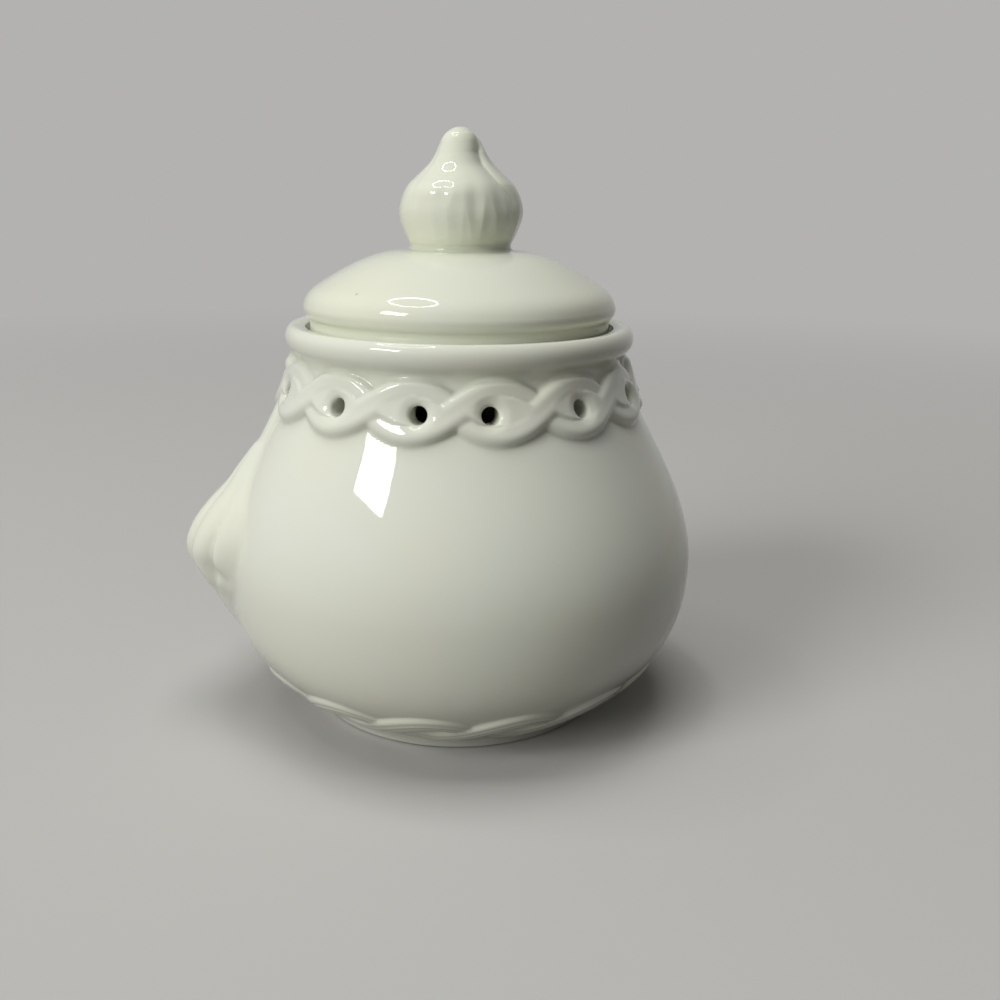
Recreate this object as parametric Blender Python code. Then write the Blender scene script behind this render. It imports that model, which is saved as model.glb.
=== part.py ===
"""Garlic keeper: a glazed slip-cast jar with a loose lid, in metres, +Z up.

The jar is one fired casting: pear-shaped body, flared rim, rope band with a vent in each eye,
a bulb of garlic in relief on the front (-Y), and a flatter rope round the foot.
The lid is one fired casting too: dome, locating ring and garlic knob, hollow and open below.
The origin is on the jar's axis, on the surface that it stands on.
"""

import math

import bmesh
import bpy
from mathutils import Vector

# Jar outline
jar_height = 0.1122
foot_radius = 0.0434
foot_band_height = 0.0033
foot_band_flare = 0.0014
belly_radius = 0.0691
belly_height = 0.0440
rim_height = 0.0097
rim_flare = 0.0027
rim_bead_drop = 0.0035
wall = 0.0048
floor_thickness = 0.0055
foot_chamfer = 0.0006

# Handles of the wall's curves, as shares of the radius or height that each curve spans
foot_out_share = 0.39
foot_rise_share = 0.23
belly_under_share = 0.64
belly_over_share = 0.38
shoulder_in_share = 0.16
shoulder_fall_share = 0.29

# Mouth of the jar, where the lid sits
mouth_radius = 0.0438
rim_thickness = 0.0058
seat_depth = 0.0032
seat_width = 0.0043
seat_thickness = 0.0030
seat_slope = 0.0060
lip_crest_inset = 0.0022
lip_fall = 0.0006
lip_round = 0.0006
lip_handle_share = 0.60

# Rope band round the neck, two strands that cross over and under
rope_drop = 0.0167
rope_waves = 7
rope_swing = 0.0052
rope_half_width = 0.0040
rope_proud = 0.0021
rope_lift = 0.0008
rope_root = 0.0019
vent_radius = 0.00225
vent_drop = 0.0008
vent_sides = 10
# The vents are pierced by hand: how far each lies to the right, as a share of the way to the next
vent_shift_shares = (-0.17, 0.06, 0.09, -0.11, 0.04, 0.15, 0, 0, 0, 0, 0, 0, 0, 0)

# Flatter rope round the foot
foot_rope_rise = 0.0115
foot_rope_turn = math.radians(5.5)
foot_rope_swing = 0.0060
foot_rope_half_width = 0.0044
foot_rope_proud = 0.0016
foot_rope_lift = 0.0005
foot_rope_root = 0.0021

# Ribbon sections, across and up as shares of the half width and the height; the low edges are sunk
ribbon_dome_shares = ((-1.0, -0.25), (-0.62, 0.92), (0.0, 0.80), (0.62, 0.92), (1.0, -0.25))
neck_dome_shares = ((-1.0, -0.25), (-0.64, 0.92), (0.40, 0.84), (1.0, -0.25))
ribbon_back_share = 0.55
rings_per_wave = 10

# Garlic bulb in relief
bulb_low = 0.0255
bulb_height = 0.0535
bulb_half_width = 0.0205
bulb_proud = 0.0113
bulb_sink = 0.0012
bulb_root = 0.0022
bulb_round_share = 0.55
# Grooves between the cloves, as shares of the half width
groove_sides = (-0.74, -0.32, 0.20, 0.66)
groove_share = 0.15
bulb_back_share = 0.80
# Height, half width and proudness of each section, as shares of the bulb's own sizes
bulb_section_shares = (
    (0.00, 0.16, 0.01),
    (0.05, 0.26, 0.12),
    (0.12, 0.40, 0.25),
    (0.22, 0.64, 0.42),
    (0.33, 0.90, 0.72),
    (0.46, 1.00, 1.00),
    (0.58, 0.97, 0.95),
    (0.70, 0.80, 0.72),
    (0.80, 0.56, 0.46),
    (0.88, 0.38, 0.36),
    (0.95, 0.28, 0.27),
    (1.00, 0.22, 0.19),
)

# Stem above the bulb, which runs under the rope and ends in a rounded nub below the rim
stem_start_share = 0.88
stem_half_width = 0.0042
stem_proud = 0.0014
nub_half_width = 0.0058
nub_proud = 0.0027
nub_drop = 0.0082
nub_end_share = 0.60
stem_swell_power = 3
stem_rings = 8

# Dimple that slip casting leaves behind the bulb
dimple_half_width = 0.0170
dimple_half_height = 0.0180
dimple_depth = 0.0085
dimple_sides = 16
dimple_rings = 8
bulb_middle_share = 0.46

# Lid
fit_gap = 0.0003
lid_clearance = 0.0009
lid_wall = 0.0042
collar_rise = 0.0013
cove_depth = 0.0004
cove_rise = 0.0039
edge_rise = 0.0026
edge_overhang = 0.0018
shoulder_rise = 0.0052
shoulder_inset = 0.0032
dome_rise = 0.0101
ring_drop = 0.0050
ring_clearance = 0.0008
ring_wall = 0.0035
edge_up_share = 0.60
dome_out_share = 0.33
dome_up_share = 0.56
dome_top_share = 0.37

# Knob in the shape of a garlic bulb
knob_base_radius = 0.0141
knob_radius = 0.0171
knob_height = 0.0329
knob_sink = 0.0020
knob_ribs = 16
points_per_rib = 3
rib_share = 0.055
clove_share = 0.06
clove_side = math.radians(192)
clove_spread = math.radians(62)
knob_wall = 0.0046
# Height as a share of the knob's, radius as a share of its widest, and how deep the ribs are there
knob_section_shares = (
    (0.00, 0.825, 0.2),
    (0.06, 0.840, 0.4),
    (0.14, 0.920, 0.7),
    (0.23, 0.980, 0.9),
    (0.32, 1.000, 1.0),
    (0.42, 0.960, 0.8),
    (0.52, 0.870, 0.5),
    (0.60, 0.720, 0.2),
    (0.67, 0.575, 0.0),
    (0.75, 0.450, 0.0),
    (0.83, 0.370, 0.0),
    (0.90, 0.310, 0.0),
    (0.96, 0.210, 0.0),
    (1.00, 0.060, 0.0),
)

# Mesh fineness
turn_steps = 56
lid_steps = 49
hollow_steps = 20
lower_wall_steps = 7
upper_wall_steps = 9
rim_steps = 3
lip_steps = 4
lip_inner_steps = 2
inner_wall_steps = 8
dome_steps = 5
edge_steps = 3
brow_steps = 4
ceiling_steps = 5
look_up_steps = 40
overrun = 0.0050
merge_distance = 0.00001
crease_angle = math.radians(35)

# Sizes worked out from those above
neck_height = jar_height - rim_height
rim_radius = mouth_radius + rim_thickness
neck_radius = rim_radius - rim_flare
rim_bead_height = jar_height - rim_bead_drop
band_radius = foot_radius + foot_band_flare
seat_height = jar_height - seat_depth
throat_radius = mouth_radius - seat_width
rope_height = jar_height - rope_drop
wave_angle = math.tau / rope_waves
vent_count = 2 * rope_waves


def bezier(start, handle_a, handle_b, end, steps):
    """Points of a cubic curve, without its end."""
    points = []
    for step in range(steps):
        t = step / steps
        weights = ((1 - t) ** 3, 3 * t * (1 - t) ** 2, 3 * t**2 * (1 - t), t**3)
        corners = (start, handle_a, handle_b, end)
        points.append(tuple(sum(w * c[i] for w, c in zip(weights, corners)) for i in range(2)))
    return points


def wall_outline(lower_steps, upper_steps, rim_steps):
    """The jar's outer wall as (radius, height), from the top of the foot band to the rim's bead."""
    flare = belly_radius - band_radius
    lower_rise = belly_height - foot_band_height
    upper_rise = neck_height - belly_height
    draw_in = belly_radius - neck_radius
    band_top = (band_radius, foot_band_height)
    belly = (belly_radius, belly_height)
    neck = (neck_radius, neck_height)
    bead = (rim_radius, rim_bead_height)
    foot_handle = (band_radius + foot_out_share * flare, foot_band_height + foot_rise_share * lower_rise)
    under_belly = (belly_radius, belly_height - belly_under_share * lower_rise)
    over_belly = (belly_radius, belly_height + belly_over_share * upper_rise)
    shoulder = (neck_radius + shoulder_in_share * draw_in, neck_height - shoulder_fall_share * upper_rise)
    rim_reach = (rim_bead_height - neck_height) / 2
    neck_handle = (neck_radius, neck_height + rim_reach)
    bead_handle = (rim_radius, rim_bead_height - rim_reach)
    points = bezier(band_top, foot_handle, under_belly, belly, lower_steps)
    points += bezier(belly, over_belly, shoulder, neck, upper_steps)
    points += bezier(neck, neck_handle, bead_handle, bead, rim_steps)
    return points + [bead]


wall_line = wall_outline(look_up_steps, look_up_steps, look_up_steps)
wall_lengths = [0.0]
for wall_a, wall_b in zip(wall_line, wall_line[1:]):
    wall_lengths.append(wall_lengths[-1] + math.dist(wall_a, wall_b))


def on_wall(length):
    """(radius, height, normal) of the wall, this far along its outline above the foot band."""
    index = 0
    while index < len(wall_line) - 2 and wall_lengths[index + 1] < length:
        index += 1
    (radius_a, height_a), (radius_b, height_b) = wall_line[index], wall_line[index + 1]
    piece = wall_lengths[index + 1] - wall_lengths[index]
    share = (length - wall_lengths[index]) / piece
    radius = radius_a + share * (radius_b - radius_a)
    height = height_a + share * (height_b - height_a)
    normal = ((height_b - height_a) / piece, (radius_a - radius_b) / piece)
    return radius, height, normal


def length_at(height):
    """How far along the wall's outline this height is."""
    for index, (point_a, point_b) in enumerate(zip(wall_line, wall_line[1:])):
        if point_b[1] >= height:
            share = (height - point_a[1]) / (point_b[1] - point_a[1])
            return wall_lengths[index] + share * (wall_lengths[index + 1] - wall_lengths[index])
    return wall_lengths[-1]


def around(radius, angle, height):
    """A point at this angle from the front (-Y) towards +X."""
    return Vector((radius * math.sin(angle), -radius * math.cos(angle), height))


def add_object(name, mesh_builder):
    bmesh.ops.recalc_face_normals(mesh_builder, faces=mesh_builder.faces)
    mesh = bpy.data.meshes.new(name)
    mesh_builder.to_mesh(mesh)
    mesh_builder.free()
    mesh.shade_smooth()
    piece = bpy.data.objects.new(name, mesh)
    bpy.context.scene.collection.objects.link(piece)
    return piece


def turned(name, outline, steps):
    """A closed (radius, height) outline spun about the axis."""
    builder = bmesh.new()
    points = [builder.verts.new(around(radius, 0, height)) for radius, height in outline]
    edges = [builder.edges.new(pair) for pair in zip(points, points[1:])]
    if outline[0][0] > 0:
        edges.append(builder.edges.new((points[-1], points[0])))
    bmesh.ops.spin(
        builder,
        geom=points + edges,
        cent=(0, 0, 0),
        axis=(0, 0, 1),
        angle=math.tau,
        steps=steps,
        use_merge=True,
    )
    on_axis = [vert for vert in builder.verts if vert.co.x == 0 and vert.co.y == 0]
    bmesh.ops.remove_doubles(builder, verts=on_axis, dist=merge_distance)
    return add_object(name, builder)


def lofted(name, rings, closed):
    """A skin over rings of points, which meets itself when closed and is capped when not."""
    builder = bmesh.new()
    rows = [[builder.verts.new(point) for point in ring] for ring in rings]
    pairs = list(zip(rows, rows[1:]))
    if closed:
        pairs.append((rows[-1], rows[0]))
    else:
        builder.faces.new(rows[0])
        builder.faces.new(rows[-1])
    for row_a, row_b in pairs:
        for index in range(len(row_a)):
            behind = index - 1
            builder.faces.new((row_a[behind], row_a[index], row_b[index], row_b[behind]))
    return add_object(name, builder)


def helper(piece):
    piece.hide_render = True
    piece.display_type = "WIRE"
    return piece


def combine(piece, other, operation):
    modifier = piece.modifiers.new(f"{operation.lower()}_{other.name}", "BOOLEAN")
    modifier.operation = operation
    modifier.solver = "EXACT"
    modifier.object = helper(other)


def ribbon_section(dome_shares, centre, across, out, half_width, proud, root, lift):
    """One ring of a ribbon laid on the wall: a domed face with a shallow groove, and a sunk back."""
    ring = [centre + across * (half_width * x) + out * (proud * y + lift) for x, y in dome_shares]
    ring.append(centre + across * (half_width * ribbon_back_share) - out * root)
    ring.append(centre - across * (half_width * ribbon_back_share) - out * root)
    return ring


def rope_strand(name, dome_shares, middle, turn, swing, half_width, proud, root, lift, side):
    """A strand that waves about the line this far up the wall, over where it climbs to the right."""
    count = rings_per_wave * rope_waves

    def place(angle):
        radius, height, normal = on_wall(middle + side * swing * math.sin(rope_waves * (angle - turn)))
        return around(radius, angle, height), around(normal[0], angle, normal[1])

    rings = []
    for step in range(count):
        angle = math.tau * step / count
        centre, out = place(angle)
        ahead = place(angle + wave_angle / count)[0]
        behind = place(angle - wave_angle / count)[0]
        across = out.cross(ahead - behind).normalized()
        raised = lift * side * math.cos(rope_waves * (angle - turn))
        rings.append(ribbon_section(dome_shares, centre, across, out, half_width, proud, root, raised))
    return lofted(name, rings, closed=True)


def rope_band(jar, name, dome_shares, middle, turn, swing, half_width, proud, root, lift):
    for side, label in ((1, "a"), (-1, "b")):
        strand = rope_strand(f"{name}_{label}", dome_shares, middle, turn, swing, half_width, proud, root,
                             lift, side)
        combine(jar, strand, "UNION")


def garlic_relief():
    """The bulb, lofted up the wall from flat sections with a hump for each clove."""
    edges = (-1,) + groove_sides + (1,)
    columns = []
    for edge_a, edge_b in zip(edges, edges[1:]):
        columns += [edge_a, (2 * edge_a + edge_b) / 3, (edge_a + 2 * edge_b) / 3]
    columns.append(1)
    rings = []
    for height_share, width_share, proud_share in bulb_section_shares:
        height = bulb_low + height_share * bulb_height
        radius = on_wall(length_at(height))[0]
        half_angle = width_share * bulb_half_width / radius
        proud = proud_share * bulb_proud
        front = []
        for u in columns:
            body = (1 - u**2) ** bulb_round_share
            groove = groove_share if u in groove_sides else 0
            out = (proud + bulb_sink) * body * (1 - groove) - bulb_sink
            front.append(around(radius + out, u * half_angle, height))
        back_sides = (bulb_back_share, 0, -bulb_back_share)
        back = [around(radius - bulb_root, u * half_angle, height) for u in back_sides]
        rings.append(front + back)
    return lofted("garlic_bulb", rings, closed=False)


def garlic_stem():
    start = length_at(bulb_low + bulb_height * stem_start_share)
    nub = length_at(jar_height - nub_drop)
    rings = []
    for step in range(stem_rings):
        share = step / (stem_rings - 1)
        swell = share**stem_swell_power
        end_round = 1 if step < stem_rings - 1 else nub_end_share
        radius, height, normal = on_wall(start + share * (nub - start))
        centre = around(radius, 0, height)
        out = around(normal[0], 0, normal[1])
        half_width = (stem_half_width + swell * (nub_half_width - stem_half_width)) * end_round
        proud = (stem_proud + swell * (nub_proud - stem_proud)) * end_round
        rings.append(ribbon_section(ribbon_dome_shares, centre, Vector((1, 0, 0)), out, half_width, proud,
                                    rope_root, 0))
    return lofted("garlic_stem", rings, closed=False)


def casting_dimple():
    builder = bmesh.new()
    bmesh.ops.create_uvsphere(builder, u_segments=dimple_sides, v_segments=dimple_rings, radius=1)
    bulb_middle = bulb_low + bulb_height * bulb_middle_share
    inner_radius = on_wall(length_at(bulb_middle))[0] - wall
    for vert in builder.verts:
        x, y, z = vert.co
        vert.co = (
            x * dimple_half_width,
            y * dimple_depth - inner_radius,
            z * dimple_half_height + bulb_middle,
        )
    return add_object("dimple", builder)


def vents():
    """Round bores through the wall, one in each eye of the rope."""
    builder = bmesh.new()
    radius, height, _ = on_wall(length_at(rope_height - vent_drop))
    inside = radius - wall - overrun
    outside = radius + rope_proud + overrun
    for vent in range(vent_count):
        shift = vent_shift_shares[vent % len(vent_shift_shares)]
        angle = (vent + 0.5 + shift) * math.tau / vent_count
        rows = []
        for reach in (inside, outside):
            centre = around(reach, angle, height)
            side = around(1, angle + math.pi / 2, 0)
            up = Vector((0, 0, 1))
            turns = [math.tau * step / vent_sides for step in range(vent_sides)]
            offsets = [side * math.cos(turn) + up * math.sin(turn) for turn in turns]
            rows.append([builder.verts.new(centre + vent_radius * offset) for offset in offsets])
        builder.faces.new(rows[0])
        builder.faces.new(rows[1])
        for index in range(vent_sides):
            builder.faces.new((rows[0][index - 1], rows[0][index], rows[1][index], rows[1][index - 1]))
    return add_object("vents", builder)


def jar_outline():
    """The whole wall as one closed outline: up the outside, over the rim and down the inside."""
    outer = [(0, 0), (foot_radius - foot_chamfer, 0), (foot_radius, foot_chamfer)]
    outer += wall_outline(lower_wall_steps, upper_wall_steps, rim_steps)
    crest = (rim_radius - lip_crest_inset, jar_height)
    lip_up = rim_bead_height + lip_handle_share * rim_bead_drop
    lip_out = rim_radius - lip_handle_share * lip_crest_inset
    outer += bezier((rim_radius, rim_bead_height), (rim_radius, lip_up), (lip_out, jar_height), crest,
                    lip_steps)[1:]
    outer.append(crest)
    corner = (mouth_radius, jar_height - lip_fall)
    corner_foot = (mouth_radius, corner[1] - lip_round)
    outer += bezier((mouth_radius + lip_round, corner[1]), corner, corner, corner_foot, lip_inner_steps)
    outer.append(corner_foot)
    outer.append((mouth_radius, seat_height))
    outer.append((throat_radius, seat_height))
    outer.append((throat_radius, seat_height - seat_thickness))
    inner = []
    lowest_slope = seat_height - seat_thickness - seat_slope
    top_length = length_at(neck_height)
    for step in range(inner_wall_steps, 0, -1):
        radius, height, normal = on_wall(top_length * step / inner_wall_steps)
        point = (radius - wall * normal[0], height - wall * normal[1])
        if floor_thickness < point[1] < lowest_slope:
            inner.append(point)
    corner = (inner[-1][0] - (inner[-1][1] - floor_thickness), floor_thickness)
    return outer + inner + [corner, (0, floor_thickness)]


def lid_sections():
    """Named places of the lid, worked out from its seat in the jar."""
    underside = seat_height + fit_gap
    collar_radius = mouth_radius - lid_clearance
    cove_radius = collar_radius - cove_depth
    edge_radius = cove_radius + edge_overhang
    edge_height = underside + collar_rise + cove_rise + edge_rise
    return underside, collar_radius, cove_radius, edge_radius, edge_height


def lid_outline():
    """Dome, overhanging edge, cove and collar outside; ring and hollow inside."""
    underside, collar_radius, cove_radius, edge_radius, edge_height = lid_sections()
    shoulder = (edge_radius - shoulder_inset, edge_height + shoulder_rise)
    top = (knob_base_radius, shoulder[1] + dome_rise)
    span = shoulder[0] - top[0]
    collar_top = underside + collar_rise
    cove_top = collar_top + cove_rise / 2
    lip_under = (edge_radius, edge_height - edge_rise)
    outline = [(0, top[1]), top]
    top_handle = (top[0] + dome_top_share * span, top[1])
    shoulder_handle = (shoulder[0] - dome_out_share * span, shoulder[1] + dome_up_share * dome_rise)
    outline += bezier(top, top_handle, shoulder_handle, shoulder, dome_steps)[1:]
    edge_handle = (edge_radius, edge_height + edge_up_share * shoulder_rise)
    outline += bezier(shoulder, shoulder, edge_handle, (edge_radius, edge_height), edge_steps)
    outline += bezier((edge_radius, edge_height), lip_under, (cove_radius, lip_under[1]),
                      (cove_radius, cove_top), brow_steps)
    outline.append((cove_radius, cove_top))
    outline.append((collar_radius, collar_top))
    outline.append((collar_radius, underside))
    ring_radius = throat_radius - ring_clearance
    ring_bottom = seat_height - ring_drop
    outline.append((ring_radius, underside))
    outline.append((ring_radius, ring_bottom))
    outline.append((ring_radius - ring_wall, ring_bottom))
    inner_edge = (ring_radius - ring_wall, edge_height)
    inner_top = (knob_base_radius, top[1] - lid_wall)
    outline += bezier(inner_edge, (inner_edge[0], edge_height + shoulder_rise / 2),
                      (top_handle[0], inner_top[1]), inner_top, ceiling_steps)
    outline.append(inner_top)
    outline.append((0, inner_top[1]))
    return outline


def knob_base_height():
    edge_height = lid_sections()[-1]
    return edge_height + shoulder_rise + dome_rise


def knob():
    """Rings of a garlic bulb: ribs on its lower half, and one clove that stands out at one side."""
    columns = knob_ribs * points_per_rib
    base = knob_base_height()
    rings = []
    base_ring_share = knob_base_radius / knob_radius
    sections = ((-knob_sink / knob_height, base_ring_share, 0),) + knob_section_shares
    for height_share, radius_share, rib_depth in sections:
        ring = []
        for column in range(columns):
            angle = math.tau * column / columns
            rib = rib_share * rib_depth * (1 - abs(math.sin(knob_ribs * angle / 2)))
            turn = math.remainder(angle - clove_side, math.tau)
            clove = 0
            if abs(turn) < clove_spread:
                clove = clove_share * math.sqrt(math.cos(turn / clove_spread * math.pi / 2))
                clove *= math.sin(math.pi * min(1, max(0, height_share))) ** 2
            radius = knob_radius * (radius_share * (1 - rib) + clove)
            ring.append(around(radius, angle, base + height_share * knob_height))
        rings.append(ring)
    return lofted("garlic_knob", rings, closed=False)


def knob_hollow():
    """The space that slip casting leaves in the knob, open to the underside of the lid."""
    base = knob_base_height()
    below = base - lid_wall - overrun
    outline = [(0, below)]
    for height_share, radius_share, _ in knob_section_shares:
        radius = knob_radius * radius_share - knob_wall
        if height_share == 0:
            outline.append((radius, below))
        if radius > knob_wall / 4 and height_share > 0:
            outline.append((radius, base + height_share * knob_height - knob_wall / 4))
    outline.append((0, outline[-1][1] + knob_wall / 4))
    return turned("knob_hollow", outline, hollow_steps)


def glaze(name, colour):
    material = bpy.data.materials.new(name)
    material.use_nodes = True
    shader = material.node_tree.nodes["Principled BSDF"]
    shader.inputs["Base Color"].default_value = (*colour, 1)
    shader.inputs["Roughness"].default_value = 0.12
    shader.inputs["Metallic"].default_value = 0
    material.diffuse_color = (*colour, 1)
    return material


def finish(piece, material):
    """Keeps the joined shape as the piece's own mesh, with creases sharp and the rest smooth."""
    joined = piece.evaluated_get(bpy.context.evaluated_depsgraph_get())
    mesh = bpy.data.meshes.new_from_object(joined)
    piece.modifiers.clear()
    piece.data = mesh
    mesh.name = piece.name
    mesh.materials.clear()
    mesh.materials.append(material)
    mesh.shade_smooth()
    mesh.set_sharp_from_angle(angle=crease_angle)


def make_jar():
    jar = turned("jar", jar_outline(), turn_steps)
    rope_band(jar, "neck_rope", neck_dome_shares, length_at(rope_height), 0, rope_swing, rope_half_width,
              rope_proud, rope_root, rope_lift)
    rope_band(jar, "foot_rope", ribbon_dome_shares, foot_rope_rise, foot_rope_turn, foot_rope_swing,
              foot_rope_half_width, foot_rope_proud, foot_rope_root, foot_rope_lift)
    combine(jar, garlic_relief(), "UNION")
    combine(jar, garlic_stem(), "UNION")
    combine(jar, casting_dimple(), "DIFFERENCE")
    combine(jar, vents(), "DIFFERENCE")
    return jar


def make_lid():
    lid = turned("lid", lid_outline(), lid_steps)
    combine(lid, knob(), "UNION")
    combine(lid, knob_hollow(), "DIFFERENCE")
    return lid


def main():
    for old in list(bpy.data.objects):
        bpy.data.objects.remove(old)
    finish(make_jar(), glaze("jar_glaze", (0.78, 0.80, 0.75)))
    finish(make_lid(), glaze("lid_glaze", (0.80, 0.82, 0.76)))


main()
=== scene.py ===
"""Garlic keeper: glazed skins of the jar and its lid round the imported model, with floor, lamps and camera.

Each skin is a grid of rings about the axis. Angles run from the front (-Y) towards +X.
A ring's points stand out from the turned wall by the height of the ropes, the garlic bulb and its stem.
"""

import math
from collections import namedtuple

import bmesh
import bpy
import numpy as np
from mathutils import Matrix, Vector


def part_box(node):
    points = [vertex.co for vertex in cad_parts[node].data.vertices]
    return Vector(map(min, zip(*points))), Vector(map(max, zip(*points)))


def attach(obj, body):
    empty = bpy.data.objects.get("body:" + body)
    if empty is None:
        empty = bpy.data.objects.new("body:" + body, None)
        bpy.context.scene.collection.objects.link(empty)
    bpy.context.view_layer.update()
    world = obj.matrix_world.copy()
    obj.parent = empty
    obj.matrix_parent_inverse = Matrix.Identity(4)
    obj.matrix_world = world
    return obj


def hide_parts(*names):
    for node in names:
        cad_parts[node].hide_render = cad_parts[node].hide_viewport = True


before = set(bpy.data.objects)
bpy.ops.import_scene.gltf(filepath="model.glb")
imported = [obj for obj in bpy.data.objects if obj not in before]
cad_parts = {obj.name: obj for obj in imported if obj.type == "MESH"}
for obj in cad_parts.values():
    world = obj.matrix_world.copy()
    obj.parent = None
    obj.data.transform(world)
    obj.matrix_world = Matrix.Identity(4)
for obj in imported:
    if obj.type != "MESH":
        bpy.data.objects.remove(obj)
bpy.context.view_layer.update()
jar_low, jar_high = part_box("jar")
lid_low, lid_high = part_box("lid")

# Jar, the same sizes as the CAD model
jar_height = jar_high[2]
foot_radius = 0.0434
foot_band_height = 0.0033
foot_band_flare = 0.0014
foot_round = 0.0007
belly_radius = jar_high[0]
belly_height = 0.0440
rim_height = 0.0097
rim_flare = 0.0027
rim_bead_drop = 0.0035
mouth_radius = 0.0438
rim_thickness = 0.0058
lip_crest_inset = 0.0022
lip_fall = 0.0006
lip_round = 0.0006
lip_handle_share = 0.60
wall = 0.0048
floor_thickness = 0.0055
foot_out_share = 0.39
foot_rise_share = 0.23
belly_under_share = 0.64
belly_over_share = 0.38
shoulder_in_share = 0.16
shoulder_fall_share = 0.29
seat_depth = 0.0032
seat_width = 0.0043
seat_thickness = 0.0030
seat_slope = 0.0060

neck_height = jar_height - rim_height
rim_radius = mouth_radius + rim_thickness
neck_radius = rim_radius - rim_flare
rim_bead_height = jar_height - rim_bead_drop
band_radius = foot_radius + foot_band_flare
seat_height = jar_height - seat_depth
throat_radius = mouth_radius - seat_width

# Rope round the neck, and its vents
rope_drop = 0.0167
rope_waves = 7
rope_swing = 0.0049
rope_half_width = 0.0039
rope_proud = 0.0020
rope_lift = 0.0004
rope_groove = 0.00003
rope_ridges = 2
rope_fullness = 4
rope_blend = 0.0007
eye_edge = 0.0018
vent_radius = 0.00225
vent_drop = 0.0008
vent_lip = 0.0009
vent_dish_depth = 0.0007
vent_dish_inset = 0.0004
vent_dish_reach = 0.0026
vent_shift_shares = (-0.17, 0.06, 0.09, -0.11, 0.04, 0.15, 0, 0, 0, 0, 0, 0, 0, 0)

# Rope round the foot
foot_rope_rise = 0.0111
foot_rope_turn = math.radians(5.5)
foot_rope_swing = 0.0060
foot_rope_half_width = 0.0043
foot_rope_proud = 0.0012
foot_rope_lift = 0.0004
foot_rope_groove = 0.0001
foot_rope_ridges = 4
foot_rope_fullness = 2.5
foot_rope_blend = 0.0005

# Garlic bulb in relief
bulb_low = 0.0255
bulb_height = 0.0535
bulb_half_width = 0.0205
bulb_proud = 0.0113
bulb_sink = 0.0012
bulb_round_share = 0.78
bulb_section_shares = (
    (0.00, 0.16, 0.01),
    (0.05, 0.26, 0.12),
    (0.12, 0.40, 0.25),
    (0.22, 0.64, 0.42),
    (0.33, 0.90, 0.72),
    (0.46, 1.00, 1.00),
    (0.58, 0.97, 0.95),
    (0.70, 0.80, 0.72),
    (0.80, 0.56, 0.46),
    (0.88, 0.38, 0.36),
    (0.95, 0.28, 0.27),
    (1.00, 0.22, 0.19),
)
groove_sides = (-0.66, -0.22, 0.22, 0.64)
groove_depth = 0.0028
tuck_depth = 0.0012
# How deep the grooves are, by height: they end in hollows above the root
groove_depth_shares = (
    (0, 0), (0.2, 0), (0.29, 0.3), (0.36, 0.8), (0.42, 1),
    (0.52, 0.9), (0.66, 0.5), (0.8, 0.2), (1, 0),
)
bulb_fillet = 0.0040
stem_half_width = 0.0042
stem_proud = 0.0014
nub_half_width = 0.0058
nub_half_length = 0.0040
nub_proud = 0.0027
nub_drop = 0.0107
stem_fillet = 0.0005
nub_fillet = 0.0010

# Dimple that casting leaves behind the bulb
dimple_half_width = 0.0165
dimple_half_height = 0.0175
dimple_depth = 0.0078
bulb_middle_share = 0.46

# Waviness of the cast wall
cast_wave = 0.00006

# Lid
fit_gap = 0.0003
lid_clearance = 0.0009
lid_wall = 0.0042
collar_rise = 0.0013
cove_depth = 0.0004
cove_rise = 0.0039
edge_rise = 0.0026
edge_overhang = 0.0018
shoulder_rise = 0.0052
shoulder_inset = 0.0032
dome_rise = 0.0101
ring_drop = 0.0050
ring_clearance = 0.0008
ring_wall = 0.0035
edge_up_share = 0.60
dome_out_share = 0.33
dome_up_share = 0.56
dome_top_share = 0.37

# Knob
knob_base_radius = 0.0141
knob_radius = 0.0171
knob_height = 0.0329
knob_fillet = 0.0016
knob_wall = 0.0046
knob_section_shares = (
    (0.055, 0.836),
    (0.112, 0.897),
    (0.195, 0.960),
    (0.264, 0.995),
    (0.319, 1.000),
    (0.400, 0.971),
    (0.480, 0.911),
    (0.538, 0.842),
    (0.593, 0.736),
    (0.650, 0.616),
    (0.717, 0.491),
    (0.784, 0.410),
    (0.850, 0.354),
    (0.906, 0.305),
    (0.942, 0.254),
    (0.970, 0.180),
    (0.990, 0.100),
)
knob_dent_depth = 0.0005
knob_dent_spread = 0.13
knob_crease_depth = 0.0012
knob_clove_rise = 0.0006
knob_brow = 0.0005
# Soft dents low on the knob, uneven as on a real bulb:
# (degrees from the photograph's camera, depth, middle and reach as shares of the knob's height)
knob_dents = (
    (-80, 0.2, 0.30, 0.20), (-17, 0.7, 0.47, 0.09), (-58, 0.25, 0.28, 0.18), (-34, 0.35, 0.24, 0.16),
    (-19, 0.25, 0.27, 0.15), (-3, 0.5, 0.27, 0.16), (6, 0.4, 0.24, 0.17), (14, 1.0, 0.36, 0.18),
    (27, 0.6, 0.25, 0.15), (41, 0.6, 0.38, 0.16), (58, 0.9, 0.32, 0.20), (77, 0.5, 0.26, 0.18),
    (96, 0.9, 0.33, 0.20), (112, 0.4, 0.25, 0.16), (133, 0.8, 0.35, 0.18), (151, 0.5, 0.27, 0.16),
    (172, 1.0, 0.32, 0.20), (190, 0.4, 0.25, 0.16), (213, 0.7, 0.35, 0.18), (232, 0.5, 0.27, 0.18),
    (255, 0.6, 0.31, 0.20),
)
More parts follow.
